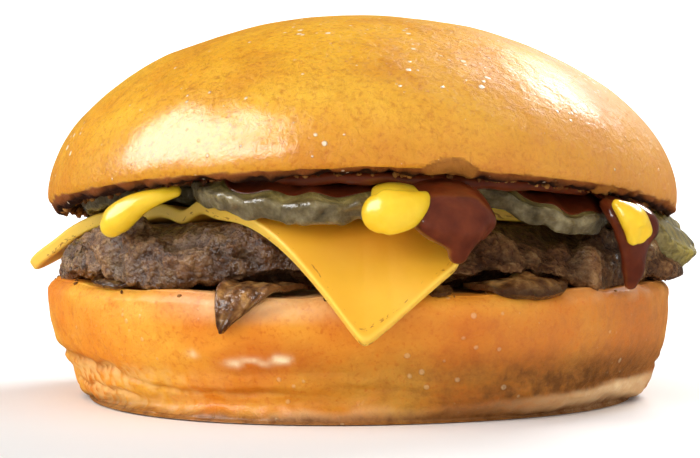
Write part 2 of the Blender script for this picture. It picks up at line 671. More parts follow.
def crustMaterial(name, colours, finish):
    # Soft white bun, brushed with egg and baked: a thin golden skin that is glossy and finely
    # wrinkled, over pale bread. The eye sees amber that shifts with depth, and crisp glints.
    material, add, place = startMaterial(name)
    wide = add("TexNoise", {"Vector": place, "Scale": 1000.0 / 13.0, "Detail": 3.0})
    mottle = add("TexNoise", {"Vector": place, "Scale": 1000.0 / 2.2, "Detail": 6.0, "Roughness": 0.68})
    speckle = add("TexNoise", {"Vector": place, "Scale": 1000.0 / 0.7, "Detail": 3.0, "Roughness": 0.6})
    base = add("ValToRGB", {"Fac": wide, "stops": colours["golden"]})
    for noise, tones in ((mottle, "mottle"), (speckle, "speckle")):
        tones = add("ValToRGB", {"Fac": noise, "stops": colours[tones]})
        base = add("Mix", {"data_type": "RGBA", "blend_type": "MULTIPLY", 0: 1.0, 6: base, 7: tones}), 2
    uneven = add("Math", {"operation": "MULTIPLY_ADD", 0: mottle, 1: 1.6, 2: 0.10})
    for mark, colour, strength in colours["marks"]:
        base = paint(add, base, mark, colour, strength, uneven)
    # Small blisters, thick on some stretches of the skin and missing on others. Real ones are
    # finer, and are drawn as coarse as they need to show.
    blisters = add("TexVoronoi", {"Vector": place, "Scale": 1000.0 / 2.2})
    limit = add("TexNoise", {"Vector": place, "Scale": 1000.0 / 9.0, "Detail": 2.0})
    limit = add("MapRange", {"Value": limit, "From Min": 0.44, "From Max": 0.68,
                             "To Min": 0.04, "To Max": 0.25})
    dots = add("Math", {"operation": "SUBTRACT", 0: limit, 1: (blisters, "Distance")})
    dots = add("MapRange", {"Value": dots, "From Min": 0.0, "From Max": 0.08})
    base = paint(add, base, dots, colours["blister"], finish["blisterShare"])
    wrinkles = add("TexNoise", {"Vector": place, "Scale": 1000.0 / 1.4, "Detail": 6.0, "Roughness": 0.66,
                                "Distortion": 0.8})
    swell = add("TexNoise", {"Vector": place, "Scale": 1000.0 / 5.0, "Detail": 3.0})
    bread = add("Attribute", {"attribute_name": "bread"}), "Fac"
    crumb = add("TexNoise", {"Vector": place, "Scale": 1000.0 / 1.2, "Detail": 6.0, "Roughness": 0.75})
    crumb = add("Math", {"operation": "MULTIPLY", 0: bread, 1: crumb})
    # The skin's own relief, and the smoother top of the glaze that lies in it
    bump = glazed = None
    for height, rise in (wrinkles, "wrinkle"), (swell, "swell"), (dots, "blister"):
        bump = add("Bump", {"Distance": finish[rise], "Height": height, "Normal": bump})
    bump = add("Bump", {"Distance": 0.0011, "Height": crumb, "Normal": bump})
    for height, rise in (wrinkles, "glazeWrinkle"), (swell, "glazeSwell"), (dots, "blister"):
        glazed = add("Bump", {"Distance": finish[rise], "Height": height, "Normal": glazed})
    rough = add("MapRange", {"Value": mottle, "From Min": 0.3, "From Max": 0.7,
                             "To Min": finish["roughness"] - 0.06, "To Max": finish["roughness"] + 0.10})
    rough = add("Math", {"operation": "MULTIPLY_ADD", "use_clamp": True, 0: bread, 1: 0.4, 2: rough})
    # The glaze is missing where the bread is bare, and weaker where it is seen from the side, or
    # the rim of the bun would look hazy
    coat = finish["coat"]
    glaze = add("Math", {"operation": "MULTIPLY_ADD", "use_clamp": True, 0: bread, 1: -0.9 * coat, 2: coat})
    side = add("LayerWeight", {"Blend": 0.5}), "Facing"
    side = add("MapRange", {"Value": side, "From Min": 0.40, "From Max": 0.67, "To Min": 1.0, "To Max": 0.10})
    glaze = add("Math", {"operation": "MULTIPLY", 0: glaze, 1: side})
    return finishMaterial(material, add, {
        "IOR": 1.45, "Specular IOR Level": 0.18, "Subsurface Weight": 0.10, "Subsurface Scale": 0.002,
        "Subsurface Radius": (1.0, 0.40, 0.12), "Coat Weight": coat, "Coat IOR": 1.9,
        "Coat Roughness": finish["coatRoughness"],
    }, {"Base Color": base, "Roughness": rough, "Normal": bump, "Coat Weight": glaze, "Coat Normal": glazed})


crownColours = {
    "golden": ((0.30, "#DE961A"), (0.50, "#EAAA22"), (0.70, "#F0B62C")),
    "mottle": ((0.28, "#EBDCC0"), (0.50, "#FFFFFF"), (0.75, "#FFF6DC")),
    "speckle": ((0.30, "#E6D2B4"), (0.50, "#FFFFFF"), (0.75, "#FFFFFF")),
    "marks": (("pale", "#DC9C58", 0.75), ("browned", "#BC6016", 0.8), ("bread", "#9A5420", 1.3),
              ("torn", "#BE7A30", 1.0), ("toasted", "#35180A", 1.3)),
    "blister": "#FFEFCF",
}
crownFinish = {"coat": 0.75, "coatRoughness": 0.13, "roughness": 0.45, "wrinkle": 0.00042, "swell": 0.00070,
               "blister": 0.00018, "blisterShare": 0.8, "glazeWrinkle": 0.00007, "glazeSwell": 0.00010}
heelColours = {
    "golden": ((0.32, "#E27E16"), (0.50, "#EC9828"), (0.68, "#F2B03A")),
    "mottle": ((0.28, "#F0D8B4"), (0.48, "#FFFFFF"), (0.75, "#FFFAEA")),
    "speckle": ((0.30, "#F2DABA"), (0.46, "#FFFFFF"), (0.72, "#FFFFFF")),
    "marks": (("deep", "#C86012", 0.60), ("dull", "#B87036", 0.85), ("brown", "#704214", 1.00),
              ("folds", "#9A5A1C", 0.8), ("torn", "#F2BC6C", 1.0), ("pale", "#F0CE9C", 1.0),
              ("under", "#7A4A1E", 0.9), ("bread", "#C98F4C", 0.8), ("shine", "#FFE8B8", 0.75),
              ("caramel", "#9A5420", 0.5)),
    "blister": "#FBE4B4",
}
heelFinish = {"coat": 0.14, "coatRoughness": 0.20, "roughness": 0.50, "wrinkle": 0.00026, "swell": 0.00030,
              "blister": 0.00012, "blisterShare": 0.20, "glazeWrinkle": 0.00006, "glazeSwell": 0.00012}


# The patty: minced beef, seared on a hot plate.

patty = {
    "radius": 0.0525,
    "edge": 0.0050,
    # azimuth, spread and size: where it bulges, and where it lies on a piece of onion
    "lumps": ((-95.0, 12.0, -0.0002), (-60.0, 12.0, 0.0012), (-38.0, 13.0, 0.0020), (0.0, 22.0, -0.0052),
              (34.0, 12.0, 0.0004), (60.0, 14.0, 0.0006), (73.0, 9.0, 0.0038), (125.0, 16.0, 0.0014),
              (180.0, 22.0, -0.0020), (-135.0, 18.0, 0.0010)),
    "lifts": ((-15.0, 10.0, 0.0024), (27.0, 11.0, 0.0028), (12.0, 6.0, 0.0014), (-46.0, 12.0, 0.0017),
              (118.0, 11.0, 0.0026), (-128.0, 11.0, 0.0023)),
    "columns": 900,
    "lumpSize": 0.0090,
    "crumbSize": 0.0027,
    "grainSize": 0.0011,
    # soft relief under the crags, in layers of lump size, height and seed
    "swells": ((0.010, 0.0008, 61), (0.0020, 0.00025, 63), (0.0008, 0.00014, 60)),
    "holeDepth": 0.0012,
    "thinSide": (76.0, 11.0),    # azimuth and spread where a pickle hangs close and it is calmer
}


def pattyLimit(radius, azimuth, reach):
    gap = stack["gap"]
    under = cheeseHeight(radius, azimuth, stack["cheeseThickness"] + 0.6 * gap)
    free = cheeseHeight(radius, azimuth, 0.0) - 0.0002
    return under + (free - under) * smoothStep(radius, reach + 0.0012, reach + 0.0040)


def pattyUnderside(radius, azimuth):
    lift = sum(height * bumpAt(azimuth, c, s) for c, s, height in patty["lifts"])
    return heelTop(radius, azimuth) + 0.2 * stack["gap"] + lift * smoothStep(radius, 0.040, 0.048)


def makePatty(material):
    azimuth = turns(patty["columns"])
    reach = np.max([cheeseReach(azimuth[0] + turn) for turn in range(-15, 16, 3)], axis=0)[None, :]
    flat = patty["radius"] - patty["edge"]
    flat = flat + sum(size * bumpAt(azimuth, c, s) for c, s, size in patty["lumps"])
    t = rowsBetween((0.0, 0.55, 12), (0.55, np.pi / 2.0, 26))[:, None]
    radius = flat + patty["edge"] * np.sin(t)
    top, bottom = pattyLimit(radius, azimuth, reach), pattyUnderside(radius, azimuth)
    middle = bottom + 0.42 * (top - bottom)
    cosine = np.maximum(np.cos(t), 0.0)
    inner = flat * rowsBetween((0.0, 0.80, 4), (0.80, 0.98, 5))[:, None]
    rings = np.concatenate([
        polarPoint(azimuth, inner, pattyLimit(inner, azimuth, reach)),
        polarPoint(azimuth, radius, middle + (top - middle) * cosine**0.75),
        polarPoint(azimuth, radius, middle - (middle - bottom) * cosine**0.42)[-2::-1],
        polarPoint(azimuth, inner, pattyUnderside(inner, azimuth))[::-1],
    ])

    # Crags of three sizes, their crumbs drawn out upright where the meat has torn
    out = np.hypot(rings[..., 0], rings[..., 1])
    warp = 0.0016 * np.stack([cloudNoise(rings, 0.005, 20 + i) for i in range(3)], axis=-1)
    torn = (bumpAt(azimuth, 36.0, 22.0) + bumpAt(azimuth, 150.0, 30.0))[..., None]
    drawn = rings * np.array((1.0, 1.0, 0.45)) * torn + rings * (1.0 - torn)
    lumpGap, lumpPick = pebbleNoise(rings + warp, patty["lumpSize"], 30)
    crumbGap, crumbPick = pebbleNoise(drawn + warp, patty["crumbSize"], 40)
    grainGap, grainPick = pebbleNoise(rings + 0.5 * warp, patty["grainSize"], 50)
    lump, crumb = smoothStep(lumpGap, 0.0, 0.55), smoothStep(crumbGap, 0.0, 0.50)
    grain = smoothStep(grainGap, 0.0, 0.5)
    holes = smoothStep(crumbPick, 0.91, 0.96) * smoothStep(crumbGap, 0.05, 0.4)
    relief = 0.0010 * (lump - 0.7) + 0.00030 * (crumb - 0.6) + 0.00020 * (grain - 0.6)
    relief += 0.0006 * (lumpPick - 0.5) - patty["holeDepth"] * holes + layered(rings, *patty["swells"])
    thin = 1.0 - 0.75 * bumpAt(azimuth, *patty["thinSide"])
    rings = pushOut(rings, relief * smoothStep(out, 0.040, 0.046) * thin)
    low = smoothStep(np.arange(len(rings))[:, None], 45, 59) * smoothStep(out, 0.0475, 0.0510)
    sag = 0.0007 + 0.0016 * bumpAt(azimuth, -38.0, 9.0) + layered(rings, (0.006, 0.0008, 62))
    rings[..., 2] -= low * thin * sag
    grease = smoothStep(lumpPick, 0.93, 0.96) * crumb * 0.6
    marks = {
        "depth": np.clip(1.05 - 0.42 * lump - 0.36 * crumb - 0.16 * grain + 0.9 * holes, 0.0, 1.0),
        "pick": 0.35 * lumpPick + 0.35 * crumbPick + 0.30 * grainPick,
        "fat": np.maximum(smoothStep(grainPick, 0.94, 0.965) * grain, grease),
        "dark": np.minimum(1.0, 2.2 * bumpAt(azimuth, 16.0, 40.0)) + 0.7 * bumpAt(azimuth, 160.0, 50.0),
    }
    return settle(skinMesh("searedPatty", rings, material, marks), "beef", "patty")


def beefMaterial():
    # Coarse minced beef, seared and resting in its juices: grey-brown crumbs with dark gaps, flecks
    # of pale fat, and a thin film of melted fat that glistens in points.
    material, add, place = startMaterial("searedMincedBeef")
    fine = add("TexNoise", {"Vector": place, "Scale": 1000.0 / 0.9, "Detail": 6.0, "Roughness": 0.75})
    grains = add("TexVoronoi", {"Vector": place, "Scale": 1000.0 / 0.9, "Detail": 1.0, "Roughness": 0.6})
    grains = grains, "Distance"
    coarse = add("TexNoise", {"Vector": place, "Scale": 1000.0 / 1.8, "Detail": 5.0, "Roughness": 0.7})
    film = add("TexNoise", {"Vector": place, "Scale": 1000.0 / 0.6, "Detail": 3.0})
    pick, depth = [(add("Attribute", {"attribute_name": mark}), "Fac") for mark in ("pick", "depth")]
    tone = add("Math", {"operation": "MULTIPLY_ADD", 0: fine, 1: 0.6, 2: 0.09})
    tone = add("Math", {"operation": "MULTIPLY_ADD", 0: grains, 1: -0.20, 2: tone})
    tone = add("Math", {"operation": "MULTIPLY_ADD", 0: pick, 1: 0.45, 2: tone})
    base = add("ValToRGB", {"Fac": tone, "stops": (
        (0.28, "#6E4426"), (0.42, "#996B41"), (0.54, "#BA8C58"), (0.68, "#D6B07C"),
    )})
    base = paint(add, base, "dark", "#94785F", 0.66, blend="MULTIPLY")
    base = paint(add, base, "fat", "#B58F66", 0.5)
    depth = add("MapRange", {"Value": depth, "From Min": 0.40, "From Max": 1.1, "To Max": 0.8})
    base = paint(add, base, depth, "#3A2213")
    rough = add("MapRange", {"Value": fine, "From Min": 0.3, "From Max": 0.7, "To Min": 0.45, "To Max": 0.75})
    bump = None
    for height, rise in (coarse, 0.0006), (fine, 0.0003):
        bump = add("Bump", {"Distance": rise, "Height": height, "Normal": bump})
    bump = add("Bump", {"Distance": 0.00035, "invert": True, "Height": grains, "Normal": bump})
    film = add("Bump", {"Distance": 0.0003, "Height": film, "Normal": bump})
    return finishMaterial(material, add, {
        "IOR": 1.4, "Specular IOR Level": 0.15, "Coat Weight": 1.0, "Coat Roughness": 0.08, "Coat IOR": 1.70,
        "Subsurface Weight": 0.05, "Subsurface Radius": (1.0, 0.4, 0.25), "Subsurface Scale": 0.001,
    }, {"Base Color": base, "Roughness": rough, "Normal": bump, "Coat Normal": film})


# The cheese: one sandwich slice, its corners hanging down.

cheese = {
    "perSide": 132,
    "cornerPower": 60.0,      # how square the corners are
    "softPower": 13.0,        # the same at the corner that hangs to the left
    "edgeRound": 0.00055,
    "dashInset": 0.0011,      # how far the dried dashes lie from the cut edge
    "dashLength": 0.0016,
    # soft folds on the left-hand side: azimuth, spread and height
    "folds": ((-33.0, 3.2, 0.0011), (-39.5, 3.0, -0.0007), (-47.0, 4.5, 0.0009)),
}


def roundedSquare(perSide, power):
    u, v = squareWalk(perSide)
    if isinstance(power, tuple):  # usual, and at the corner (-1, 1)
        power = power[0] + (power[1] - power[0]) * smoothStep(0.5 * (v - u), 0.72, 0.90)
    size = (np.abs(u) ** power + np.abs(v) ** power) ** (1.0 / power)
    return u / size, v / size


def edgeProfile(half, thickness, bevel, topRows, sideRows):
    # Shares of the half width and levels below the top, from the middle of the top, round the
    # edge, to the middle of the underside
    corner = [(1.0 - bevel / half * (1.0 - math.sin(t)), bevel * (1.0 - math.cos(t)))
              for t in np.linspace(0.0, np.pi / 2.0, 6)]
    rows = [(share, 0.0) for share in topRows] + [(share, -drop) for share, drop in corner]
    rows += [(1.0, -bevel - (thickness - 2.0 * bevel) * k / sideRows) for k in range(1, sideRows)]
    rows += [(share, drop - thickness) for share, drop in corner[::-1]]
    rows += [(share, -thickness) for share in np.append(topRows[:0:-3], 0.0)]
    share, level = np.array(rows).T
    return share[:, None], level[:, None]


def makeCheese(material):
    u, v = roundedSquare(cheese["perSide"], (cheese["cornerPower"], cheese["softPower"]))
    thickness, half = stack["cheeseThickness"], 0.5 * stack["cheeseSide"]
    topRows = rowsBetween((0.0, 0.30, 4), (0.30, 0.90, 30), (0.90, 0.982, 16))
    share, level = edgeProfile(half, thickness, cheese["edgeRound"], topRows, 6)
    x, y = sliceSpot(u * share, v * share)
    azimuth, radius = azimuthOf(flatPoint(x, y)), np.hypot(x, y)
    # The hidden side at the front right is drawn in, and the left-hand corner hangs out a little
    drawnIn = bumpAt(azimuth, 28.0, 12.0) * smoothStep(azimuth, 13.0, 21.0)
    x = x - 0.0085 * drawnIn * smoothStep(radius, 0.030, 0.048)
    x = x - 0.0016 * smoothStep(-x, 0.050, 0.066)
    flat = flatPoint(x, y)
    azimuth, radius = azimuthOf(flat), np.hypot(x, y)
    fold = sum(size * bumpAt(azimuth, c, s) for c, s, size in cheese["folds"])
    fold = fold * smoothStep(radius, 0.036, 0.048)
    wave = layered(flat, (0.016, 0.00030, 70), (0.005, 0.00008, 71)) * smoothStep(radius, 0.036, 0.050)
    rings = drapedPoint(x, y, level + fold + wave, -0.5 * thickness)
    marks = {
        "cut": smoothStep(share, 0.985, 0.998),
        "inner": smoothStep(-radius, -0.0610, -0.0450) * bumpAt(azimuth, 2.0, 30.0),
        "inset": (1.0 - share) * half - level * 0.7,
        "along": np.linspace(0.0, 8.0 * half, u.size, endpoint=False),
    }
    return settle(skinMesh("cheddarSlice", rings, material, marks), "cheddar", "cheese_slice")


def cheddarMaterial():
    # Processed cheddar, cast as a sheet and cut: even warm yellow, a little light passes through it,
    # its face has a low sheen, and beside its cut edge it has dried brown in short dashes.
    material, add, place = startMaterial("castCheddarSlice")
    cloud = add("TexNoise", {"Vector": place, "Scale": 1000.0 / 11.0, "Detail": 3.0})
    base = add("ValToRGB", {"Fac": cloud, "stops": ((0.35, "#EBAF2A"), (0.65, "#F2BA38"))})
    base = paint(add, base, "inner", "#CE8018", 0.9)
    base = paint(add, base, "cut", "#FFD45C", 0.6)
    # The dashes are noise laid out along the edge and across it, kept to a thin line
    along, inset = [(add("Attribute", {"attribute_name": mark}), "Fac") for mark in ("along", "inset")]
    stray = add("TexNoise", {"Vector": place, "Scale": 1000.0 / 4.0, "Detail": 2.0})
    stray = add("Math", {"operation": "MULTIPLY_ADD", 0: stray, 1: 0.0016, 2: -0.0008})
    inset = add("Math", {"operation": "ADD", 0: stray, 1: inset})
    across = add("Math", {"operation": "MULTIPLY", 0: inset, 1: 1000.0 / 0.5})
    length = add("Math", {"operation": "DIVIDE", 0: along, 1: cheese["dashLength"]})
    spot = add("CombineXYZ", {0: length, 1: across})
    dash = add("TexNoise", {"Vector": spot, "Scale": 1.6, "Detail": 2.0})
    off = add("Math", {"operation": "SUBTRACT", 0: inset, 1: cheese["dashInset"]})
    off = add("Math", {"operation": "ABSOLUTE", 0: off})
    line = add("MapRange", {"Value": off, "From Min": 0.00008, "From Max": 0.00034,
                            "To Min": 0.8, "To Max": 0.0})
    limit = add("TexNoise", {"Vector": place, "Scale": 1000.0 / 12.0, "Detail": 1.0})
    limit = add("MapRange", {"Value": limit, "From Min": 0.44, "From Max": 0.60,
                             "To Min": 0.66, "To Max": 0.48})
    dried = add("Math", {"operation": "SUBTRACT", 0: dash, 1: limit})
    dried = add("MapRange", {"Value": dried, "From Min": 0.0, "From Max": 0.05})
    base = paint(add, base, dried, "#96541A", uneven=line)
    fine = add("TexNoise", {"Vector": place, "Scale": 1000.0 / 1.4, "Detail": 4.0})
    rough = add("MapRange", {"Value": fine, "From Min": 0.3, "From Max": 0.7, "To Min": 0.36, "To Max": 0.48})
    bump = add("Bump", {"Distance": 0.00003, "Height": fine})
    return finishMaterial(material, add, {
        "IOR": 1.46, "Specular IOR Level": 0.35, "Coat Weight": 0.10, "Coat Roughness": 0.30,
        "Coat IOR": 1.45, "Subsurface Weight": 0.30, "Subsurface Radius": (1.0, 0.62, 0.16),
        "Subsurface Scale": 0.003,
    }, {"Base Color": base, "Roughness": rough, "Normal": bump})


# Pickle chips: crinkle-cut rounds in brine.

pickles = {
    "wave": 0.00035,
    "pitch": 0.0066,
    "columns": 200,
    "filmThickness": 0.00030,
    "wartHeight": 0.00060,
    # azimuth and distance of the centre, radius, turn of the ripples, least and most bend, thickness,
    # and how much the outer part leans to the front
    "chips": {
        "pickle_front_left": (-11.5, 0.0383, 0.0170, 8.0, 0.0, 28.0, 0.0031, 0.0),
        "pickle_front_right": (38.5, 0.0392, 0.0145, -30.0, 0.0, 35.0, 0.0030, 0.0),
        "pickle_right": (80.0, 0.0452, 0.0160, 60.0, 46.0, 60.0, 0.0044, 0.35),
        "pickle_left": (-69.0, 0.0340, 0.0150, 40.0, 0.0, 45.0, 0.0030, 0.0),
        "pickle_back_right": (143.0, 0.0386, 0.0148, -50.0, 0.0, 35.0, 0.0030, 0.0),
        "pickle_back_left": (-143.0, 0.0384, 0.0150, 20.0, 0.0, 35.0, 0.0030, 0.0),
    },
}


def chipPoint(chip, share, angle, level):
    # A point of a chip, from its share of the radius, its angle round the chip and its level
    azimuth, distance, radius, turn, leastFall, mostFall, thickness, lean = chip
    centre = polarPoint(azimuth, distance, 0.0)
    direction = math.radians(azimuth + turn)
    uneven = cloudNoise(flatPoint(np.cos(angle), np.sin(angle)), 0.6, int(abs(azimuth)))
    reach = share * radius * (1.0 + 0.025 * np.sin(2.0 * angle + turn) + 0.03 * uneven)
    x, y = centre[0] + reach * np.cos(angle), centre[1] + reach * np.sin(angle)
    across = (x - centre[0]) * math.cos(direction) + (y - centre[1]) * math.sin(direction)
    across = across + layered(flatPoint(x, y), (0.007, 0.0012, 90))
    ripple = pickles["wave"] * (1.0 + np.sin(2.0 * np.pi * across / pickles["pitch"]))
    middle = stack["gap"] + pickles["wave"] + 0.5 * thickness
    point = drapedPoint(x, y, stack["gap"] + ripple + level, middle, mostFall, leastFall)
    forward = (azimuth - azimuthOf(point)) * np.pi / 180.0 * distance
    point[..., 2] -= lean * forward * smoothStep(np.hypot(x, y), 0.044, 0.056)
    return point


def makePickle(name, chip, seed, material):
    thick = chip[6]
    angle = np.radians(turns(pickles["columns"]))
    share, level = edgeProfile(chip[2], thick, 0.0008, rowsBetween((0.0, 0.35, 4), (0.35, 0.95, 20)), 5)
    rings = chipPoint(chip, share, angle, level + thick)
    skin = smoothStep(share, 0.90, 0.985)
    warts = layered(rings, (0.0024, 0.6, seed), (0.0011, 0.4, seed + 1))
    rings = pushOut(rings, pickles["wartHeight"] * skin * warts + layered(rings, (0.0030, 0.00012, seed + 2)))
    out = np.hypot(rings[..., 0], rings[..., 1])
    marks = {"skin": skin, "yellow": (chip[7] > 0.0) * smoothStep(out, 0.050, 0.060)}
    return settle(skinMesh(name.replace("pickle", "chip"), rings, material, marks), "pickle", name)


def makeSmear(name, chip, seed, material):
    # Thin ketchup spread over the top of a chip, with an uneven rim that stops short of its skin.
    angle = np.radians(turns(160))
    ring = flatPoint(np.cos(angle), np.sin(angle))
    outline = 0.86 + layered(ring, (0.7, 0.10, seed), (0.25, 0.05, seed + 1))
    share = rowsBetween((0.0, 0.80, 8), (0.80, 1.0, 8))[:, None]
    film = pickles["filmThickness"] * np.sqrt(np.maximum(1.0 - share**4, 0.0))
    top = chipPoint(chip, share * outline, angle, chip[6] + film)
    under = chipPoint(chip, share[:-1] * outline, angle, chip[6] - 0.0003 * (1.0 - share[:-1] ** 4))
    rings = np.concatenate([top, under[::-1]])
    rings = rings + layered(rings, (0.003, 0.0001, seed + 2))[..., None]
    return settle(skinMesh(name, rings, material), "ketchup")


def pickleMaterial():
    # Cucumber pickled in brine: dark skin round grey-olive flesh that lets light in, wet all over,
    # with small sharp glints on its warts.
    material, add, place = startMaterial("brinedDillPickle")
    cloud = add("TexNoise", {"Vector": place, "Scale": 1000.0 / 3.0, "Detail": 6.0, "Roughness": 0.62})
    flesh, rind = [add("ValToRGB", {"Fac": cloud, "stops": stops}) for stops in (
        ((0.30, "#63532A"), (0.50, "#8C7A44"), (0.70, "#AE9C60")),
        ((0.32, "#3E3420"), (0.50, "#6B5E42"), (0.70, "#978B6A")),
    )]
    patch = add("MapRange", {"Value": cloud, "From Min": 0.40, "From Max": 0.58,
                             "To Min": 0.15, "To Max": 0.8})
    base = paint(add, flesh, "skin", rind)
    base = paint(add, base, "yellow", "#B8A444", uneven=patch)
    warts = add("TexNoise", {"Vector": place, "Scale": 1000.0 / 1.5, "Detail": 3.0, "Roughness": 0.5})
    fine = add("TexNoise", {"Vector": place, "Scale": 1000.0 / 0.5, "Detail": 3.0, "Roughness": 0.6})
    bump = add("Bump", {"Distance": 0.0006, "Height": warts})
    bump = add("Bump", {"Distance": 0.00012, "Height": fine, "Normal": bump})
    film = add("Bump", {"Distance": 0.00030, "Height": warts})
    return finishMaterial(material, add, {
        "IOR": 1.36, "Roughness": 0.28, "Coat Weight": 1.0, "Coat Roughness": 0.05, "Coat IOR": 1.60,
        "Subsurface Weight": 0.5, "Subsurface Radius": (0.9, 0.8, 0.35), "Subsurface Scale": 0.003,
    }, {"Base Color": base, "Normal": bump, "Coat Normal": film})


# Ketchup and mustard.

sauces = {
    "spreadThickness": 0.0009,
    "frontSpread": 0.0042,      # how much farther the ketchup reaches at the front
    "grain": 0.00022,
    "softening": 9,
    # each runs together from chains of azimuth, radius, height, half width and half depth
    "runs": {
        "ketchup_front": (
            ((13.0, 0.0440, 0.0352, 0.0038, 0.0005), (12.9, 0.0480, 0.0347, 0.0043, 0.0008),
             (12.8, 0.0515, 0.0332, 0.0046, 0.0013), (13.2, 0.0543, 0.0312, 0.0053, 0.0019),
             (13.4, 0.0558, 0.0292, 0.0054, 0.0023), (13.4, 0.0566, 0.0272, 0.0041, 0.0022),
             (13.3, 0.0568, 0.0254, 0.0025, 0.0018), (13.2, 0.0567, 0.0241, 0.0016, 0.0013)),
            ((16.4, 0.0538, 0.0308, 0.0020, 0.0014), (16.9, 0.0554, 0.0290, 0.0025, 0.0018),
             (16.2, 0.0560, 0.0274, 0.0019, 0.0015)),
            ((8.6, 0.0536, 0.0312, 0.0020, 0.0012), (8.8, 0.0554, 0.0296, 0.0024, 0.0016),
             (9.8, 0.0563, 0.0281, 0.0023, 0.0018), (11.6, 0.0567, 0.0266, 0.0019, 0.0016)),
        ),
        "ketchup_right": (
            ((49.0, 0.0500, 0.0330, 0.0034, 0.0006), (48.0, 0.0528, 0.0318, 0.0037, 0.0010),
             (47.6, 0.0548, 0.0300, 0.0048, 0.0014), (47.2, 0.0556, 0.0274, 0.0042, 0.0016),
             (46.7, 0.0558, 0.0242, 0.0028, 0.0017), (46.6, 0.0557, 0.0217, 0.0022, 0.0016),
             (46.5, 0.0554, 0.0200, 0.0013, 0.0011)),
            ((44.4, 0.0530, 0.0316, 0.0016, 0.0008), (44.2, 0.0548, 0.0296, 0.0018, 0.0011),
             (45.4, 0.0556, 0.0270, 0.0016, 0.0012)),
            ((51.0, 0.0540, 0.0318, 0.0018, 0.0008), (51.6, 0.0558, 0.0300, 0.0020, 0.0012),
             (51.0, 0.0563, 0.0282, 0.0018, 0.0013), (49.0, 0.0562, 0.0264, 0.0014, 0.0012)),
        ),
        "ketchup_back": (
            ((176.0, 0.0440, 0.0352, 0.0035, 0.0004), (176.0, 0.0480, 0.0344, 0.0045, 0.0008),
             (176.4, 0.0515, 0.0328, 0.0047, 0.0014), (176.8, 0.0540, 0.0302, 0.0044, 0.0019),
             (177.0, 0.0552, 0.0278, 0.0034, 0.0017), (177.0, 0.0556, 0.0262, 0.0018, 0.0010)),
            ((181.0, 0.0500, 0.0336, 0.0026, 0.0008), (180.6, 0.0528, 0.0316, 0.0026, 0.0014),
             (179.8, 0.0545, 0.0296, 0.0020, 0.0014)),
        ),
        "mustard_front": (
            ((9.4, 0.0535, 0.0321, 0.0011, 0.0010), (8.2, 0.0548, 0.0312, 0.0019, 0.0018),
             (6.6, 0.0560, 0.0304, 0.0025, 0.0023), (4.8, 0.0568, 0.0300, 0.0029, 0.0027),
             (3.1, 0.0572, 0.0298, 0.0032, 0.0030), (2.3, 0.0570, 0.0297, 0.0027, 0.0027)),
            ((5.0, 0.0480, 0.0338, 0.0026, 0.0006), (5.2, 0.0510, 0.0331, 0.0034, 0.0011),
             (5.2, 0.0540, 0.0315, 0.0036, 0.0018), (5.2, 0.0554, 0.0306, 0.0032, 0.0022)),
        ),
        "mustard_left": (
            ((-33.0, 0.0508, 0.0334, 0.0012, 0.0007), (-35.0, 0.0522, 0.0328, 0.0016, 0.0011),
             (-37.4, 0.0536, 0.0318, 0.0020, 0.0015), (-39.6, 0.0546, 0.0305, 0.0024, 0.0020),
             (-41.3, 0.0553, 0.0293, 0.0026, 0.0022), (-42.0, 0.0555, 0.0286, 0.0022, 0.0019)),
        ),
        "mustard_right": (
            ((41.8, 0.0562, 0.0318, 0.0009, 0.0005), (42.6, 0.0575, 0.0309, 0.0019, 0.0010),
             (43.6, 0.0584, 0.0297, 0.0026, 0.0014), (44.2, 0.0587, 0.0284, 0.0025, 0.0014),
             (43.9, 0.0584, 0.0271, 0.0016, 0.0011)),
            ((41.8, 0.0565, 0.0314, 0.0012, 0.0008), (42.2, 0.0577, 0.0300, 0.0017, 0.0012),
             (42.7, 0.0583, 0.0282, 0.0017, 0.0013), (43.2, 0.0581, 0.0266, 0.0012, 0.0010)),
        ),
        "mustard_back": (
            ((-106.0, 0.0500, 0.0302, 0.0018, 0.0004), (-107.0, 0.0518, 0.0296, 0.0028, 0.0009),
             (-108.5, 0.0538, 0.0282, 0.0034, 0.0015), (-110.0, 0.0552, 0.0262, 0.0032, 0.0018),
             (-111.0, 0.0558, 0.0244, 0.0018, 0.0011)),
        ),
    },
}


def runRings(chain):  # an oval tube with round ends; its width lies round the burger
    azimuth, radius, height, wide, deep = np.array(chain).T
    rows = np.column_stack([polarPoint(azimuth, radius, height), azimuth, wide, deep])
    rows = curveThrough(rows, (8,) * (len(chain) - 1))
    centre, azimuth, wide, deep = rows[:, :3], rows[:, 3], rows[:, 4], rows[:, 5]
    ahead = np.gradient(centre, axis=0)
    ahead /= np.linalg.norm(ahead, axis=1, keepdims=True)
    up = polarPoint(azimuth, 1.0, 1.0)  # and outwards, so it never lies along a run
    up -= ahead * np.sum(up * ahead, axis=1, keepdims=True)
    up /= np.linalg.norm(up, axis=1, keepdims=True)
    side = np.cross(ahead, up)
    caps = []
    for k, sign in ((0, -1.0), (-1, 1.0)):
        reach = 0.5 * (deep[k] + wide[k])
        rings = [(centre[k] + sign * ahead[k] * reach * math.sin(t), max(math.cos(t), 0.0))
                 for t in np.linspace(0.0, np.pi / 2.0, 7)[1:]]
        caps.append([(c, side[k] * wide[k] * s, up[k] * deep[k] * s) for c, s in rings])
    body = [(centre[k], side[k] * wide[k], up[k] * deep[k]) for k in range(len(centre))]
    turn = np.radians(turns(40)).T
    return np.stack([c + s * np.cos(turn) + u * np.sin(turn) for c, s, u in caps[0][::-1] + body + caps[1]])


def makeRun(node, chains, seed, material):
    skins = [runRings(chain) for chain in chains]
    piece = fuseSkins(node.replace("_", "Run_"), skins, sauces["grain"], sauces["softening"], material)
    roughen(piece, (0.0070, 0.00030, seed), (0.0024, 0.00008, seed + 1))
    return settle(piece, node.split("_")[0], node)


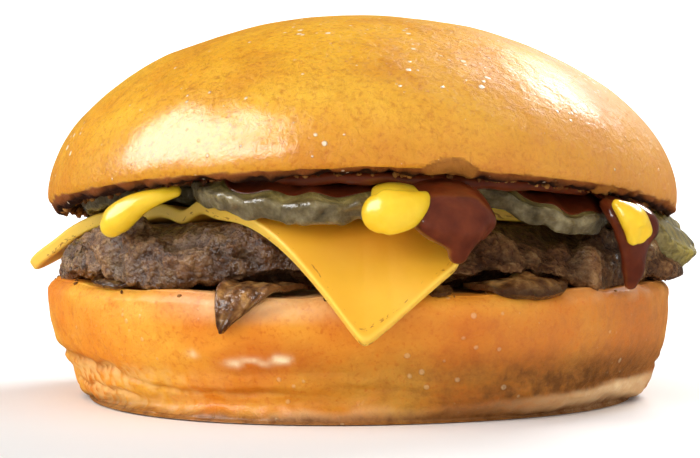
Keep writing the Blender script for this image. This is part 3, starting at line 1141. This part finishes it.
def ketchupEdge(azimuth):
    a = np.radians(azimuth)
    return 0.0440 + 0.0012 * np.sin(3.0 * a + 0.4) + 0.0009 * np.sin(7.0 * a + 2.0)


def makeSpread(material):
    azimuth = turns(300)
    front = smoothStep(-turnBetween(azimuth, 2.0), -52.0, -36.0)
    edge = ketchupEdge(azimuth) + 0.0018 + sauces["frontSpread"] * front
    thick, gap = sauces["spreadThickness"], 0.3 * stack["gap"]
    t = np.linspace(0.0, np.pi, 15)[:, None]
    inner = edge * rowsBetween((0.0, 0.75, 6), (0.75, 0.97, 10))[:, None]
    top = crownUnderside(inner, azimuth) - gap
    rimRadius = edge * 0.975
    rimHeight = crownUnderside(rimRadius, azimuth) - gap - thick
    rings = np.concatenate([
        polarPoint(azimuth, inner, top),
        polarPoint(azimuth, rimRadius + thick * np.sin(t), rimHeight + thick * np.cos(t)),
        polarPoint(azimuth, inner, top - 2.0 * thick)[::-1],
    ])
    lower = smoothStep(np.arange(len(rings))[:, None], 18, 30)
    relief = lower * (0.0003 * front + layered(rings, (0.006, 0.0006, 80), (0.0022, 0.0003, 81)))
    return settle(skinMesh("ketchupLayer", pushOut(rings, relief), material), "ketchup", "ketchup_spread")


def plainMaterial(name, cloudSize, stops, fineSize, fineDetail, rise, settings):
    # A food of one colour: a soft cloud of near tones, and fine relief. Sizes are in millimetres.
    material, add, place = startMaterial(name)
    cloud = add("TexNoise", {"Vector": place, "Scale": 1000.0 / cloudSize, "Detail": 4.0})
    fine = add("TexNoise", {"Vector": place, "Scale": 1000.0 / fineSize, "Detail": fineDetail})
    return finishMaterial(material, add, settings, {
        "Base Color": add("ValToRGB", {"Fac": cloud, "stops": stops}),
        "Normal": add("Bump", {"Distance": rise, "Height": fine}),
    })


def ketchupMaterial():
    # Tomato ketchup, squeezed and pressed: smooth, dark red-brown where it is deep, wet gloss.
    return plainMaterial("squeezedKetchup", 3.5, ((0.35, "#521E0C"), (0.65, "#6C2E14")), 1.2, 4.0, 0.00008, {
        "IOR": 1.42, "Roughness": 0.30, "Specular IOR Level": 0.2, "Coat Weight": 1.0, "Coat Roughness": 0.06,
        "Coat IOR": 1.65, "Subsurface Weight": 0.15, "Subsurface Radius": (1.0, 0.15, 0.05),
        "Subsurface Scale": 0.0015,
    })


def mustardMaterial():
    # Yellow mustard, squeezed: bright, smooth and thick, with soft edges and a wet gloss.
    return plainMaterial("squeezedMustard", 2.5, ((0.35, "#EEC022"), (0.65, "#F4CC30")), 0.9, 3.0, 0.00006, {
        "IOR": 1.42, "Roughness": 0.34, "Coat Weight": 0.6, "Coat Roughness": 0.10, "Coat IOR": 1.60,
        "Subsurface Weight": 0.30, "Subsurface Radius": (1.0, 0.75, 0.12), "Subsurface Scale": 0.002,
    })


# Onion: soft fried pieces that lie on the rim of the heel.

onions = {
    # azimuths and reaches over the rim, thickness, narrowing towards the outer end, and lean
    "onion_left": ((-56.0, -38.0), (-0.0042, 0.0016), 0.0006, 0.35, 0.0),
    "onion_front": ((-24.0, -9.0), (-0.0055, 0.0070), 0.0012, 0.88, -5.0),
    "onion_middle": ((8.5, 15.5), (-0.0045, 0.0016), 0.0009, 0.40, 0.0),
    "onion_right": ((18.0, 37.0), (-0.0060, 0.0026), 0.0020, 0.30, 0.0),
    "onion_back_right": ((110.0, 126.0), (-0.0055, 0.0030), 0.0016, 0.40, 2.0),
    "onion_back_left": ((-136.0, -121.0), (-0.0055, 0.0060), 0.0013, 0.75, 3.0),
}


def heelCoverPoint(azimuth, along, level):
    # A point over the heel's crust. along runs outwards over the shoulder and down the side, and
    # is 0 where the flat top ends.
    shoulder = heel["shoulder"]
    wide = heelRadius(azimuth)
    flat = wide - shoulder
    top = heelTop(flat, azimuth)
    turn = np.clip(along / shoulder, 0.0, np.pi / 2.0)
    down = np.maximum(0.0, along - shoulder * np.pi / 2.0)
    out = flat + (shoulder + level) * np.sin(turn) + np.minimum(along, 0.0)
    inside = heelTop(flat + np.minimum(along, 0.0), azimuth) + level
    height = np.where(along <= 0.0, inside, top - shoulder + (shoulder + level) * np.cos(turn) - down)
    return polarPoint(azimuth, out, height)


def makeOnion(name, row, seed, material):
    azimuths, reaches, thickness, narrowing, lean = row
    middle, half = 0.5 * (azimuths[0] + azimuths[1]), 0.5 * (azimuths[1] - azimuths[0])
    u, v = roundedSquare(36, 7.0)
    share, level = edgeProfile(1.0, 1.0, 0.0001, rowsBetween((0.0, 0.95, 18)), 4)
    s, t = 0.5 + 0.5 * u * share, v * share
    azimuth = middle + half * t * (1.0 - narrowing * s**1.5) + lean * s * s
    along = reaches[0] + (reaches[1] - reaches[0]) * s * (1.0 - 0.12 * t * t)
    flat = flatPoint(azimuth * 0.001, along)
    ribs = 0.00006 * np.sin(14.0 * t + layered(flat, (0.004, 2.0, seed)))
    ribs = ribs + layered(flat, (0.0030, 0.0007, seed + 3))
    swell = (1.0 - 0.75 * t * t) * (1.0 - 0.55 * (2.0 * s - 1.0) ** 2)
    curl = 0.0005 * smoothStep(np.abs(t), 0.6, 1.0) * (0.5 + cloudNoise(flat, 0.003, seed + 1))
    lift = 0.6 * stack["gap"] + curl + (0.0003 + thickness * swell) * (1.0 + level)
    rings = heelCoverPoint(azimuth, along, lift + ribs * smoothStep(swell, 0.1, 0.4))
    marks = {
        "edge": smoothStep(share, 0.72, 1.0),
        "tip": smoothStep(s, 0.70, 0.98),
        "ribs": 0.5 + 0.5 * np.sin(22.0 * t + layered(flat, (0.005, 3.0, seed + 2))),
    }
    return settle(skinMesh(name.replace("onion", "friedOnion"), rings, material, marks), "fried_onion", name)


def onionMaterial():
    # Onion fried soft in oil: thin clear layers with fine ribs, pale in the middle and caramel to
    # nearly black at the edges, oily all over.
    material, add, place = startMaterial("friedOnion")
    ribs = add("Attribute", {"attribute_name": "ribs"}), "Fac"
    cloud = add("TexNoise", {"Vector": place, "Scale": 1000.0 / 2.0, "Detail": 5.0})
    tone = add("Math", {"operation": "MULTIPLY_ADD", 0: ribs, 1: 0.06, 2: cloud})
    base = add("ValToRGB", {"Fac": tone, "stops": ((0.34, "#4A2A12"), (0.50, "#7E5228"), (0.66, "#B88A50"))})
    base = paint(add, base, "edge", "#4E2A10", 0.8)
    base = paint(add, base, "tip", "#2E170A", 0.7)
    folds = add("TexNoise", {"Vector": place, "Scale": 1000.0 / 1.7, "Detail": 3.0})
    fine = add("TexNoise", {"Vector": place, "Scale": 1000.0 / 0.8, "Detail": 4.0})
    bump = add("Bump", {"Distance": 0.0007, "Height": folds})
    bump = add("Bump", {"Distance": 0.0003, "Height": fine, "Normal": bump})
    return finishMaterial(material, add, {
        "IOR": 1.42, "Roughness": 0.45, "Specular IOR Level": 0.2, "Coat Weight": 1.0, "Coat Roughness": 0.07,
        "Coat IOR": 1.50, "Subsurface Weight": 0.4, "Subsurface Radius": (1.0, 0.6, 0.3),
        "Subsurface Scale": 0.002,
    }, {"Base Color": base, "Normal": bump, "Coat Normal": bump})


# Loose crumbs of bread, at the crown's lip and on the heel's rim.

crumbs = {
    "seed": 7,
    # how many, their smallest and largest radius, and how far out they lie, least and most
    "lipCrumbs": (420, 0.00020, 0.00050, -0.0015, -0.0003),
    "rimCrumbs": (110, 0.00016, 0.00040, -0.0012, 0.0022),
}


def lipSpot(azimuth, out):
    radius = crown["radius"] - crownInset(azimuth) + out
    return polarPoint(azimuth, radius, crownUnderside(radius, azimuth) - 0.0002)


def rimSpot(azimuth, out):
    return heelCoverPoint(azimuth, out, 0.0001)


def makeCrumbs(name, spotOf, seed, material):  # each an uneven lump, all as one piece
    count, least, most, inmost, outmost = crumbs[name]
    draw = np.random.default_rng(seed)
    azimuth = draw.uniform(0.0, 360.0, count)
    sizes = least + (most - least) * draw.random(count) ** 2
    spots = spotOf(azimuth, draw.uniform(inmost, outmost, count))
    draw = np.random.default_rng(crumbs["seed"])
    t = np.linspace(0.0, np.pi, 6)[:, None]
    ball = polarPoint(turns(8), np.sin(t), np.cos(t))
    skins = []
    for spot, size in zip(spots, sizes):
        rough = 1.0 + 0.45 * cloudNoise(ball + draw.uniform(0.0, 50.0, 3), 0.8, 3)
        skins.append(spot + ball * draw.uniform(0.6, 1.4, 3) * size * rough[..., None])
    return settle(newPiece(name, *joinSkins(skins), material), "bun_crust")


def crumbMaterial():
    # Crumbs rubbed off the bread: dry, toasted at their tips, with no gloss.
    stops = ((0.35, "#4E2A10"), (0.52, "#7E4E20"), (0.68, "#AC783C"))
    settings = {"Roughness": 0.85, "Specular IOR Level": 0.2}
    return plainMaterial("toastedCrumb", 2.0, stops, 0.4, 3.0, 0.0002, settings)


def makeFloor():
    # A round floor that curves up all round, so that no edge shows from any side
    flat, sweep = studio["floorRadius"], studio["sweepRadius"]
    azimuth = turns(96)
    t = np.linspace(0.0, np.pi / 2.0, 13)[1:, None]
    rings = np.concatenate([
        polarPoint(azimuth, np.array((0.0, 0.3, 1.0))[:, None] * flat, -0.00005),
        polarPoint(azimuth, flat + sweep * np.sin(t), sweep * (1.0 - np.cos(t))),
        polarPoint(azimuth, flat + sweep + 0.1, sweep),
        polarPoint(azimuth, np.array((1.0, 0.0))[:, None] * (flat + sweep), -0.1),
    ])
    material, add, place = startMaterial("paintedFloor")
    away = add("VectorMath", {"operation": "LENGTH", 0: place}), "Value"
    glow = add("MapRange", {"Value": away, "From Min": 0.10, "From Max": 0.45, "To Max": studio["farGlow"]})
    finishMaterial(material, add, {
        "Base Color": studio["floorColour"], "Roughness": 0.6, "Specular IOR Level": 0.2,
        "Emission Color": "#FFFFFF", "Emission Strength": glow,
    })
    floor = skinMesh("floor", rings, material)
    floor.visible_glossy = False  # its glare would wash out the bun


makeCamera()
makeStudio()
makeFloor()
print("camera, lights and floor")
makeCrown(crustMaterial("eggWashedCrust", crownColours, crownFinish))
makeHeel(crustMaterial("bakedLowerCrust", heelColours, heelFinish))
print("bun")
makePatty(beefMaterial())
print("patty")
makeCheese(cheddarMaterial())
print("cheese")
brine = pickleMaterial()
for number, (node, chip) in enumerate(pickles["chips"].items()):
    makePickle(node, chip, 100 + 10 * number, brine)
print("pickles")
ketchup, mustard = ketchupMaterial(), mustardMaterial()
makeSpread(ketchup)
for number, (node, chains) in enumerate(sauces["runs"].items()):
    makeRun(node, chains, 200 + 10 * number, ketchup if node.startswith("ketchup") else mustard)
for number, node in enumerate(("pickle_front_left", "pickle_front_right", "pickle_back_right")):
    makeSmear(node.replace("pickle", "ketchupFilm"), pickles["chips"][node], 400 + 10 * number, ketchup)
print("sauces")
oily = onionMaterial()
for number, (node, row) in enumerate(onions.items()):
    makeOnion(node, row, 300 + 10 * number, oily)
print("onion")
loose = crumbMaterial()
makeCrumbs("lipCrumbs", lipSpot, crumbs["seed"] + 1, loose)
makeCrumbs("rimCrumbs", rimSpot, crumbs["seed"] + 2, loose)
print("crumbs")

print("sizes written")
